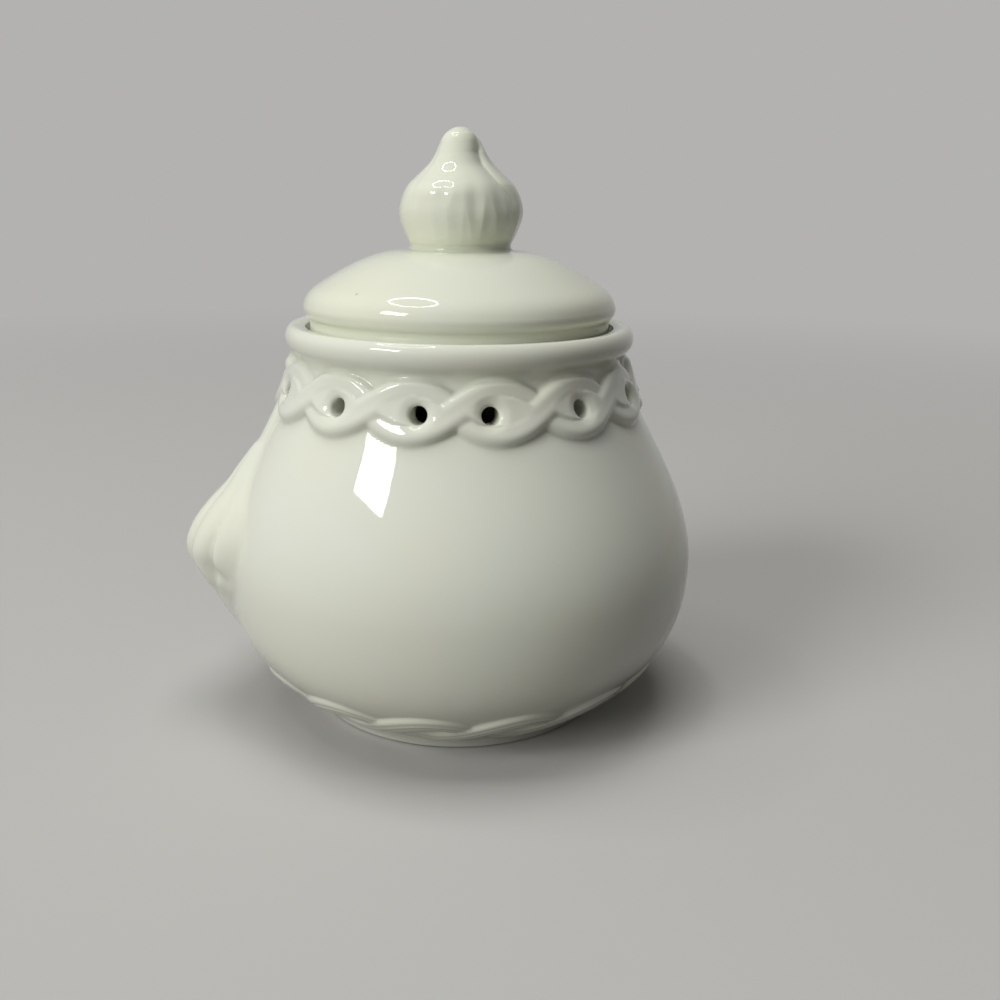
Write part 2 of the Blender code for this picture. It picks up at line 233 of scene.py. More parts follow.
# Creases where cloves part towards the tip: (depth, degrees from the camera at each of crease_shares)
crease_shares = (0.42, 0.55, 0.685, 0.795, 0.87, 0.93)
knob_creases = (
    (0.9, (60, 51, 46, 52, 72, 96)),
    (0.7, (138, 132, 126, 124, 124, 124)),
    (0.9, (197, 190, 184, 182, 182, 182)),
    (0.6, (243, 238, 231, 228, 228, 228)),
    (0.2, (-52, -57, -62, -68, -74, -80)),
)

# Camera: how it stood when the photograph was taken, in the same frame
photo_azimuth = math.radians(78.5)
camera_distance = 0.3038
camera_height = 0.1478
camera_pitch = math.radians(16.29)
camera_yaw = math.radians(2.28)
camera_roll = math.radians(0.74)
focal_pixels = 1049
picture_pixels = 1000
sensor_width = 36

# Grid fineness
jar_columns = 560
lid_columns = 360
fine_row = 0.00046
body_row = 0.0008
coarse_row = 0.0022
vent_cells = 16
vent_rings = 9
bore_rings = 5


def bezier(start, handle_a, handle_b, end, steps):
    """Points of a cubic curve, with both ends."""
    t = np.linspace(0, 1, steps + 1)[:, None]
    corners = [np.array(point, float) for point in (start, handle_a, handle_b, end)]
    weights = ((1 - t) ** 3, 3 * t * (1 - t) ** 2, 3 * t**2 * (1 - t), t**3)
    return sum(weight * corner for weight, corner in zip(weights, corners))


def joined(*parts):
    """One line of points from several that meet end to end."""
    line = [np.array(parts[0], float)]
    for part in parts[1:]:
        part = np.array(part, float)
        line.append(part[1:] if np.allclose(part[0], line[-1][-1]) else part)
    return np.concatenate(line)


def lengths_along(line):
    return np.concatenate([[0], np.cumsum(np.linalg.norm(np.diff(line, axis=0), axis=1))])


def resampled(line, spacing):
    """The same line with evenly spaced points."""
    lengths = lengths_along(line)
    count = max(2, math.ceil(lengths[-1] / spacing) + 1)
    places = np.linspace(0, lengths[-1], count)
    return np.stack([np.interp(places, lengths, line[:, axis]) for axis in range(2)], -1)


def softened(corners, radius, steps=5):
    """A line through these corners, each rounded by about this radius."""
    corners = [np.array(corner, float) for corner in corners]
    line = [corners[0]]
    for before, corner, after in zip(corners, corners[1:], corners[2:]):
        back, ahead = before - corner, after - corner
        reach = min(radius, np.linalg.norm(back) * 0.45, np.linalg.norm(ahead) * 0.45)
        start = corner + back / np.linalg.norm(back) * reach
        end = corner + ahead / np.linalg.norm(ahead) * reach
        line.extend(bezier(start, (start + 2 * corner) / 3, (end + 2 * corner) / 3, end, steps))
    line.append(corners[-1])
    return np.array(line)


def smooth_max(a, b, blend):
    """The larger of two heights, with a rounded valley of about this size where they cross."""
    return np.maximum(a, b) + np.maximum(blend - np.abs(a - b), 0) ** 2 / (4 * blend)


def smooth_step(value, low, high):
    t = np.clip((value - low) / (high - low), 0, 1)
    return t * t * (3 - 2 * t)


def smooth_curve(places, values, at):
    """A smooth curve through these points, read at other places."""
    places, values = np.array(places), np.array(values)
    slopes = np.gradient(values, places)
    index = np.clip(np.searchsorted(places, at) - 1, 0, len(places) - 2)
    span = places[index + 1] - places[index]
    t = np.clip((at - places[index]) / span, 0, 1)
    start, end = values[index], values[index + 1]
    rise = (2 * t**3 - 3 * t**2 + 1) * start + (3 * t**2 - 2 * t**3) * end
    return rise + span * ((t**3 - 2 * t**2 + t) * slopes[index] + (t**3 - t**2) * slopes[index + 1])


# The jar's wall as one line of (radius, height), from the foot band to the rim's bead
def wall_outline():
    flare = belly_radius - band_radius
    lower_rise = belly_height - foot_band_height
    upper_rise = neck_height - belly_height
    draw_in = belly_radius - neck_radius
    foot_handle = (band_radius + foot_out_share * flare, foot_band_height + foot_rise_share * lower_rise)
    under_belly = (belly_radius, belly_height - belly_under_share * lower_rise)
    over_belly = (belly_radius, belly_height + belly_over_share * upper_rise)
    shoulder = (neck_radius + shoulder_in_share * draw_in, neck_height - shoulder_fall_share * upper_rise)
    rim_reach = (rim_bead_height - neck_height) / 2
    belly = (belly_radius, belly_height)
    neck = (neck_radius, neck_height)
    bead = (rim_radius, rim_bead_height)
    return joined(
        bezier((band_radius, foot_band_height), foot_handle, under_belly, belly, 200),
        bezier(belly, over_belly, shoulder, neck, 300),
        bezier(neck, (neck_radius, neck_height + rim_reach),
               (rim_radius, rim_bead_height - rim_reach), bead, 60),
    )


wall_line = wall_outline()
wall_lengths = lengths_along(wall_line)
wall_slopes = np.gradient(wall_line, wall_lengths, axis=0)
wall_slopes /= np.linalg.norm(wall_slopes, axis=1)[:, None]
wall_length = wall_lengths[-1]


def on_wall(along):
    """(radius, height, normal's radius part, normal's height part) this far up the wall."""
    radius = np.interp(along, wall_lengths, wall_line[:, 0])
    height = np.interp(along, wall_lengths, wall_line[:, 1])
    out = np.interp(along, wall_lengths, wall_slopes[:, 1])
    up = -np.interp(along, wall_lengths, wall_slopes[:, 0])
    return radius, height, out, up


def inner_place(along):
    """(radius, height) of the inner wall behind this place."""
    radius, height, out, up = on_wall(along)
    return radius - wall * out, height - wall * up


def length_at(height):
    return float(np.interp(height, wall_line[:, 1], wall_lengths))


def turned_angle(angle):
    """The angle from the front, between minus and plus half a turn."""
    return (angle + math.pi) % math.tau - math.pi


rope_middle = length_at(jar_height - rope_drop)
vent_middle = length_at(jar_height - rope_drop - vent_drop)
vent_count = 2 * rope_waves
vent_spacing = math.tau / vent_count
vent_angles = [(k + 0.5 + vent_shift_shares[k]) * vent_spacing for k in range(vent_count)]


Rope = namedtuple("Rope", "middle turn swing half_width proud lift ridges groove fullness blend filled")
neck_rope = Rope(
    middle=rope_middle, turn=0, swing=rope_swing, half_width=rope_half_width, proud=rope_proud, lift=rope_lift,
    ridges=rope_ridges, groove=rope_groove, fullness=rope_fullness, blend=rope_blend, filled=1,
)
foot_rope = Rope(
    middle=foot_rope_rise, turn=foot_rope_turn, swing=foot_rope_swing, half_width=foot_rope_half_width,
    proud=foot_rope_proud, lift=foot_rope_lift, ridges=foot_rope_ridges, groove=foot_rope_groove,
    fullness=foot_rope_fullness, blend=foot_rope_blend, filled=0,
)


def strand_height(rope, x, y, wave, side, filled):
    """How far a strand stands out, from its distance to the waving middle line of the strand."""
    near = x.copy()
    for _ in range(6):
        line = side * rope.swing * np.sin(wave * near)
        slope = side * rope.swing * wave * np.cos(wave * near)
        bend = -side * rope.swing * wave**2 * np.sin(wave * near)
        stiff = np.maximum(1 + slope**2 + (line - y) * bend, 0.4)
        near -= np.clip((near - x + (line - y) * slope) / stiff, -rope.half_width, rope.half_width)
    line = side * rope.swing * np.sin(wave * near)
    across = np.sign(y - line) * np.hypot(x - near, y - line) / rope.half_width
    filled = np.where((y - line) * line < 0, filled, 0)
    across = across * (1 - filled)
    inside = np.clip(np.abs(across), 0, 1)
    dome = rope.proud * (1 - inside**rope.fullness) ** 0.6 - rope.blend / 4 * filled
    dome -= rope.groove * np.cos(rope.ridges * math.pi * across) * (1 - inside**4)
    dome -= 1.6 * rope.half_width * np.maximum(np.abs(across) - 1, 0)
    return dome + rope.lift * side * np.cos(wave * near)


def rope_height(rope, angle, along):
    """Two strands that cross over and under, as one height over the wall. The eyes between them can be filled."""
    radius = on_wall(rope.middle)[0]
    wave = rope_waves / radius
    x = radius * (angle - rope.turn)
    y = along - rope.middle
    spread = np.abs(np.sin(wave * x))
    filled = rope.filled * smooth_step(spread, 0.3, 0.85)
    filled = filled * smooth_step(rope.swing * spread - np.abs(y), 0, eye_edge)
    over, under = (strand_height(rope, x, y, wave, side, filled) for side in (1, -1))
    return smooth_max(over, under, rope.blend)


def bulb_relief(angle, height, radius):
    """The garlic bulb: a hump for each clove, with grooves that meet at the root and the neck."""
    share = (height - bulb_low) / bulb_height
    table = np.array(bulb_section_shares)
    half_width = bulb_half_width * smooth_curve(table[:, 0], table[:, 1], share)
    proud = bulb_proud * smooth_curve(table[:, 0], table[:, 2], share)
    u = turned_angle(angle) * radius / half_width
    inside = np.clip(np.abs(u), 0, 1)
    body = (1 - inside**2) ** bulb_round_share
    lines = np.array((-1.05,) + groove_sides + (1.05,))
    clove = np.clip(np.searchsorted(lines, u) - 1, 0, len(lines) - 2)
    part = np.clip((u - lines[clove]) / (lines[clove + 1] - lines[clove]), 0, 1)
    valley = (1 - np.sin(math.pi * part)) ** 1.7
    deep = smooth_curve(*np.transpose(groove_depth_shares), share)
    height_out = (proud + bulb_sink) * body - bulb_sink
    height_out -= groove_depth * deep * valley * body**0.5
    # The side cloves curl under above the root
    tuck = np.exp(-(((share - 0.52 + 0.20 * inside) / 0.045) ** 2))
    height_out -= tuck_depth * tuck * smooth_step(inside, 0.4, 0.7) * (1 - smooth_step(inside, 0.85, 1))
    height_out -= 1.3 * half_width * np.maximum(np.abs(u) - 1, 0)
    beyond = np.maximum(share - 1, 0) + np.maximum(-share, 0)
    return height_out - 1.2 * bulb_height * beyond


def stem_relief(angle, along, radius):
    """The stem, which runs up under the rope and ends in a rounded nub below the rim."""
    start = length_at(bulb_low + bulb_height * 0.80)
    nub = length_at(jar_height - nub_drop)
    across = turned_angle(angle) * radius
    inside = np.clip(np.abs(across) / stem_half_width, 0, 1)
    stem = stem_proud * (1 - inside**2) ** 0.5 - 2 * np.maximum(np.abs(across) - stem_half_width, 0)
    stem -= 2 * np.maximum(along - nub, 0) + 0.6 * np.maximum(start - along, 0)
    from_nub = np.hypot(across / nub_half_width, (along - nub) / nub_half_length)
    end = nub_proud * (1 - np.clip(from_nub, 0, 1) ** 2.2) ** 0.6
    end -= 2 * nub_half_length * np.maximum(from_nub - 1, 0)
    return smooth_max(stem, end, nub_fillet)


def unevenness(angle, height):
    """The slight waviness of a cast wall."""
    wave = np.sin(3 * angle + 0.7 + 38 * height) + 0.7 * np.sin(5 * angle + 2.1 - 61 * height)
    wave += 0.5 * np.sin(8 * angle + 4.4 + 90 * height)
    return cast_wave * (wave - 2.2) * smooth_step(height, 0.004, 0.02) * (1 - smooth_step(height, 0.09, 0.105))


def vent_distance(angle, along, vent, middle):
    """How far a point of the wall is from a vent's axis."""
    radius, _, out, _ = on_wall(middle)
    across = turned_angle(angle - vent_angles[vent]) * radius
    return np.hypot(across, (along - middle) * out)


def vent_fall(angle, along):
    """How far the glazed edge of the vents falls back towards the bore."""
    fall = np.zeros_like(angle)
    for vent in range(vent_count):
        distance = vent_distance(angle, along, vent, vent_middle)
        dish = 1 - smooth_step(distance, vent_radius - vent_dish_inset, vent_radius + vent_dish_reach)
        edge = np.clip(vent_radius + vent_lip - distance, 0, vent_lip)
        rounded = vent_lip - np.sqrt(np.maximum(vent_lip**2 - edge**2, 0))
        fall = np.maximum(fall, vent_dish_depth * dish + rounded)
    return fall


def jar_skin(angle, along):
    """Points of the jar's outside, from the angle and how far up the wall they are."""
    radius, height, out, up = on_wall(along)
    ropes = smooth_max(rope_height(neck_rope, angle, along), rope_height(foot_rope, angle, along), 0.0001)
    ropes = smooth_max(ropes, stem_relief(angle, along, radius), stem_fillet)
    sideways = smooth_max(bulb_relief(angle, height, radius), np.zeros_like(ropes), bulb_fillet)
    already = sideways * out
    fillet = 0.0006 + 0.0008 * smooth_step(along, rope_middle, rope_middle + 0.006)
    along_normal = smooth_max(ropes, already, fillet) - already - vent_fall(angle, along)
    sideways += unevenness(angle, height)
    radius = radius + out * along_normal + sideways
    return around(radius, angle, height + up * along_normal)


def jar_inside(angle, along):
    """Points of the inner wall, with the dimple that casting leaves behind the bulb."""
    radius, height, out, up = on_wall(along)
    inner_radius, inner_height = radius - wall * out, height - wall * up
    across = turned_angle(angle) * inner_radius / dimple_half_width
    over = (inner_height - (bulb_low + bulb_middle_share * bulb_height)) / dimple_half_height
    hollow = dimple_depth * np.maximum(1 - across**2 - over**2, 0) ** 0.8
    return around(inner_radius + hollow, angle, inner_height)


def around(radius, angle, height):
    return np.stack(np.broadcast_arrays(radius * np.sin(angle), -radius * np.cos(angle), height), -1)


class Skin:
    """Points and faces of one closed skin, added ring by ring."""

    def __init__(self, columns):
        self.columns = columns
        self.angles = np.arange(columns) * math.tau / columns
        self.points = []
        self.faces = []
        self.count = 0

    def add(self, points):
        points = np.asarray(points, float).reshape(-1, 3)
        first = self.count
        self.points.append(points)
        self.count += len(points)
        return np.arange(first, self.count)

    def ring(self, radius, height):
        return self.add(around(radius, self.angles, height))

    def bridge(self, ring_a, ring_b, skip=()):
        """Faces between two rings, leaving out the columns named."""
        keep = np.ones(len(ring_a), bool)
        keep[list(skip)] = False
        next_a, next_b = np.roll(ring_a, -1), np.roll(ring_b, -1)
        self.faces.append(np.stack([ring_a, next_a, next_b, ring_b], -1)[keep])

    def rings_along(self, last, line):
        """A ring for each (radius, height) of a line, bridged to the one before. Gives the last one."""
        for radius, height in line:
            ring = self.ring(radius, height)
            self.bridge(last, ring)
            last = ring
        return last

    def cap(self, ring, centre):
        pole = self.add([centre])[0]
        spokes = np.stack([ring, np.roll(ring, -1), np.full(len(ring), pole)], -1)
        self.faces.append(spokes)

    def piece(self, name):
        points = np.concatenate(self.points)
        quads = np.concatenate([face for face in self.faces if face.shape[1] == 4])
        fans = [face for face in self.faces if face.shape[1] == 3]
        triangles = np.concatenate(fans) if fans else np.zeros((0, 3), int)
        mesh = bpy.data.meshes.new(name)
        mesh.from_pydata(points.tolist(), [], quads.tolist() + triangles.tolist())
        builder = bmesh.new()
        builder.from_mesh(mesh)
        bmesh.ops.recalc_face_normals(builder, faces=builder.faces)
        builder.to_mesh(mesh)
        builder.free()
        mesh.shade_smooth()
        pool_glaze(mesh)
        piece = bpy.data.objects.new(name, mesh)
        bpy.context.scene.collection.objects.link(piece)
        return piece


def pool_glaze(mesh):
    """Stores how hollow the surface is at each point, where glaze gathers, and how sharp, where it thins."""
    count = len(mesh.vertices)
    points = np.empty(count * 3)
    mesh.vertices.foreach_get("co", points)
    points = points.reshape(-1, 3)
    normals = np.empty(count * 3)
    mesh.vertex_normals.foreach_get("vector", normals)
    normals = normals.reshape(-1, 3)
    edges = np.empty(len(mesh.edges) * 2, int)
    mesh.edges.foreach_get("vertices", edges)
    a, b = edges.reshape(-1, 2).T
    ways = np.bincount(a, minlength=count) + np.bincount(b, minlength=count)

    def neighbour_mean(values):
        total = np.bincount(a, values[b], count) + np.bincount(b, values[a], count)
        return total / ways

    edge_lengths = np.linalg.norm(points[a] - points[b], axis=1)
    spacing = (np.bincount(a, edge_lengths, count) + np.bincount(b, edge_lengths, count)) / ways
    lean = sum((neighbour_mean(points[:, i]) - points[:, i]) * normals[:, i] for i in range(3))
    bend = lean / spacing**2
    for _ in range(4):
        bend = (bend + neighbour_mean(bend)) / 2
    pool = np.clip(bend / 220, 0, 1)
    thin = np.clip(-bend / 420, 0, 1)
    mesh.attributes.new("glaze_pool", "FLOAT", "POINT").data.foreach_set("value", pool)
    mesh.attributes.new("glaze_thin", "FLOAT", "POINT").data.foreach_set("value", thin)


def vent_block(rows, middle, vent):
    """The square of grid cells that a vent's patch replaces: its first column and first row."""
    column = round(vent_angles[vent] / (math.tau / jar_columns)) - vent_cells // 2
    row = int(np.argmin(np.abs(rows - middle))) - vent_cells // 2
    return column, row


def block_border(column, row):
    """(column, row) of the points round a block, anticlockwise as seen from outside."""
    n = vent_cells
    side = [(i, 0) for i in range(n)] + [(n, j) for j in range(n)]
    side += [(i, n) for i in range(n, 0, -1)] + [(0, j) for j in range(n, 0, -1)]
    return [((column + i) % jar_columns, row + j) for i, j in side]


def add_wall(skin, rows, surface, middle):
    """Rings of a wall with a round hole for each vent. Gives the rings and the holes' edges."""
    rings = [skin.add(surface(skin.angles, np.full(jar_columns, along))) for along in rows]
    blocks = [vent_block(rows, middle, vent) for vent in range(vent_count)]
    for index, (ring_a, ring_b) in enumerate(zip(rings, rings[1:])):
        skip = []
        for column, row in blocks:
            if row <= index < row + vent_cells:
                skip += [(column + i) % jar_columns for i in range(vent_cells)]
        skin.bridge(ring_a, ring_b, skip)
    radius, _, out, _ = on_wall(middle)
    edges = []
    for vent, (column, row) in enumerate(blocks):
        border = block_border(column, row)
        loop = np.array([rings[j][i] for i, j in border])
        across = np.array([turned_angle(skin.angles[i] - vent_angles[vent]) * radius for i, _ in border])
        over = np.array([(rows[j] - middle) * out for _, j in border])
        reach = np.hypot(across, over)
        for step in range(1, vent_rings + 1):
            share = 1 - (1 - step / vent_rings) ** 1.5
            scale = 1 + share * (vent_radius / reach - 1)
            angle = vent_angles[vent] + across * scale / radius
            along = middle + over * scale / out
            ring = skin.add(surface(angle, along))
            skin.bridge(loop, ring)
            loop = ring
        edges.append(loop)
    return rings, edges


def jar_rows():
    """Places up the wall, close together where the ropes are."""
    top = length_at(neck_height)
    zones = (
        (0, 0.0235, fine_row),
        (0.0235, rope_middle - 0.0105, body_row),
        (rope_middle - 0.0105, top, fine_row),
        (top, wall_length, 0.0006),
    )
    places = [np.linspace(a, b, math.ceil((b - a) / step) + 1)[:-1] for a, b, step in zones]
    return np.concatenate(places + [[wall_length]])


def make_jar():
    skin = Skin(jar_columns)
    under = joined([(foot_radius * share, 0) for share in (0.15, 0.4, 0.65, 0.85, 0.95)],
                   softened([(foot_radius * 0.95, 0), (foot_radius, 0), (band_radius, foot_band_height)],
                            foot_round))
    last = skin.ring(*under[0])
    skin.cap(last, (0, 0, 0))
    last = skin.rings_along(last, under[1:-1])
    rows = jar_rows()
    rings, outer_holes = add_wall(skin, rows, jar_skin, vent_middle)
    skin.bridge(last, rings[0])
    last = rings[-1]
    crest = (rim_radius - lip_crest_inset, jar_height)
    lip_up = rim_bead_height + lip_handle_share * rim_bead_drop
    lip_out = rim_radius - lip_handle_share * lip_crest_inset
    corner = (mouth_radius, jar_height - lip_fall)
    corner_foot = (mouth_radius, corner[1] - lip_round)
    lip = joined(
        bezier((rim_radius, rim_bead_height), (rim_radius, lip_up), (lip_out, jar_height), crest, 14),
        bezier(crest, (crest[0] - 0.0015, jar_height), (mouth_radius + 0.0015, corner[1] + 0.0002),
               (mouth_radius + lip_round, corner[1]), 8),
        bezier((mouth_radius + lip_round, corner[1]), corner, corner, corner_foot, 6),
    )
    throat = softened([corner_foot, (mouth_radius, seat_height),
                       (throat_radius, seat_height), (throat_radius, seat_height - seat_thickness)], 0.0007)
    last = skin.rings_along(last, joined(lip, resampled(throat, 0.0005))[1:])
    lowest_slope = seat_height - seat_thickness - seat_slope
    radius, height, out, up = on_wall(rows)
    usable = (height - wall * up < lowest_slope) & (height - wall * up > floor_thickness + 0.0006)
    inner_rows = rows[usable]
    inner_middle = float(np.interp(on_wall(vent_middle)[1], height - wall * up, rows))
    inner_rings, inner_holes = add_wall(skin, inner_rows, jar_inside, inner_middle)
    slope_top = np.array((throat_radius, seat_height - seat_thickness))
    slope_end = np.array(inner_place(inner_rows[-1]))
    last = skin.rings_along(last, [slope_top + share * (slope_end - slope_top) for share in (0.33, 0.67)])
    skin.bridge(last, inner_rings[-1])
    corner = inner_place(inner_rows[0])
    bottom = softened([corner, (corner[0] - 0.0008, floor_thickness), (corner[0] * 0.9, floor_thickness)], 0.002)
    flat = [(corner[0] * share, floor_thickness) for share in (0.7, 0.4, 0.15)]
    last = skin.rings_along(inner_rings[0], joined(bottom[1:], flat))
    skin.cap(last, (0, 0, floor_thickness))
    points = np.concatenate(skin.points)
    for outer, inner in zip(outer_holes, inner_holes):
        last = outer
        for step in range(1, bore_rings):
            share = step / bore_rings
            ring = skin.add(points[outer] * (1 - share) + points[inner] * share)
            skin.bridge(last, ring)
            last = ring
        skin.bridge(last, inner)
    return skin.piece("jar_skin")


# Lid
underside = seat_height + fit_gap
collar_radius = mouth_radius - lid_clearance
cove_radius = collar_radius - cove_depth
edge_radius = cove_radius + edge_overhang
edge_height = underside + collar_rise + cove_rise + edge_rise
shoulder = (edge_radius - shoulder_inset, edge_height + shoulder_rise)
dome_top = shoulder[1] + dome_rise


def dome_outline():
    """The lid's outside below the knob, from the knob's fillet to the collar's foot."""
    span = shoulder[0] - knob_base_radius
    start = (knob_base_radius + knob_fillet, dome_top)
    top_handle = (knob_base_radius + dome_top_share * span, dome_top)
    shoulder_handle = (shoulder[0] - dome_out_share * span, shoulder[1] + dome_up_share * dome_rise)
    edge = (edge_radius, edge_height)
    lip_under = edge_height - edge_rise
    cove_top = underside + collar_rise + cove_rise / 2
    dome = bezier(start, top_handle, shoulder_handle, shoulder, 60)
    bend = bezier(shoulder, shoulder, (edge_radius, edge_height + edge_up_share * shoulder_rise), edge, 20)
    brow = bezier(edge, (edge_radius, lip_under), (cove_radius, lip_under), (cove_radius, cove_top), 20)
    foot = softened([(cove_radius, cove_top), (cove_radius + cove_depth * 0.3, underside + collar_rise * 1.3),
                     (collar_radius, underside + collar_rise * 0.8), (collar_radius, underside)], 0.0009)
    cap = resampled(joined(dome, bend), 0.0006)
    for _ in range(14):
        cap[1:-1] = (cap[:-2] + 2 * cap[1:-1] + cap[2:]) / 4
    return resampled(joined(cap, brow, foot), 0.0006)


def knob_outline():
    """(radius, height) of the knob's side, from the tip to the fillet on the dome."""
    shares = [(radius, height) for height, radius in reversed(knob_section_shares)]
    shares = [(0.0, 1.0)] + shares
    knots = np.array(shares) * (knob_radius, knob_height) + (0, dome_top)
    places = lengths_along(knots)
    at = np.linspace(0, places[-1], 110)
    side = np.stack([smooth_curve(places, knots[:, axis], at) for axis in range(2)], -1)
    neck = side[-1]
    fillet = bezier(neck, neck - (0.0002, 0.0009), (knob_base_radius + 0.0002, dome_top),
                    (knob_base_radius + knob_fillet, dome_top), 8)
    return joined(side[1:], fillet)


def knob_point(radius, height, angle):
    """A point of the knob: soft dents low down, and cloves that part towards the tip."""
    share = (height - dome_top) / knob_height
    cut = np.zeros_like(angle)
    for place, depth, middle, reach in knob_dents:
        away = turned_angle(angle - photo_azimuth - math.radians(place)) / knob_dent_spread
        up = (share - middle) / reach
        cut = np.maximum(cut, depth * np.exp(-(away**2) - up**2))
    high = smooth_step(share, 0.24, 0.58) * (1 - smooth_step(share, 0.95, 1.0))
    parted = np.zeros_like(angle)
    for depth, places in knob_creases:
        place = math.radians(float(np.interp(share, crease_shares, places)))
        away = turned_angle(angle - photo_azimuth - place)
        width = np.where(away < 0, 0.38, 0.12)
        parted = np.maximum(parted, depth * np.exp(-((np.abs(away) / width) ** 1.2)))
    turn = turned_angle(angle - photo_azimuth - math.radians(100)) / math.radians(50)
    bump = np.clip(1 - turn**2, 0, 1) ** 0.6
    radius = radius - knob_dent_depth * cut * smooth_step(share, 0, 0.12) - knob_crease_depth * high * parted
    radius = radius + knob_clove_rise * bump * smooth_step(share, 0.1, 0.4) * (1 - smooth_step(share, 0.7, 0.95))
    facing = turned_angle(angle - photo_azimuth - math.radians(-20)) / math.radians(42)
    brow = np.exp(-(((share - 0.49) / 0.07) ** 2)) - np.exp(-(((share - 0.65) / 0.07) ** 2))
    radius = radius + knob_brow * brow * np.exp(-(facing**2))
    return around(radius, angle, height)


def make_lid():
    skin = Skin(lid_columns)
    last = None
    for radius, height in knob_outline():
        ring = skin.add(knob_point(np.full(lid_columns, radius), height, skin.angles))
        if last is None:
            tip = knob_point(np.zeros(1), dome_top + knob_height, np.zeros(1))[0]
            skin.cap(ring, tip)
        else:
            skin.bridge(last, ring)
        last = ring
    outside = dome_outline()[1:]
    ring_radius = throat_radius - ring_clearance
    inner_radius = ring_radius - ring_wall
    ring_bottom = seat_height - ring_drop
    below = softened([outside[-1], (ring_radius, underside), (ring_radius, ring_bottom),
                      (inner_radius, ring_bottom), (inner_radius, edge_height)], 0.0009)
    inner_top = dome_top - lid_wall
    span = shoulder[0] - knob_base_radius
    hollow_neck = knob_section_shares[0][1] * knob_radius - knob_wall
    ceiling = bezier((inner_radius, edge_height), (inner_radius, edge_height + shoulder_rise / 2),
                     (knob_base_radius + dome_top_share * span, inner_top),
                     (hollow_neck + 0.0015, inner_top), 24)
    hollow = [(hollow_neck, inner_top + 0.0015)]
    for height_share, radius_share in knob_section_shares:
        radius = knob_radius * radius_share - knob_wall
        if radius > knob_wall / 4:
            hollow.append((radius, dome_top + height_share * knob_height - knob_wall / 4))
    line = joined(outside, resampled(below, 0.0010), resampled(ceiling, coarse_row), hollow)
    last = skin.rings_along(last, line)
    skin.cap(last, (0, 0, line[-1][1] + knob_wall / 6))
    return skin.piece("lid_skin")


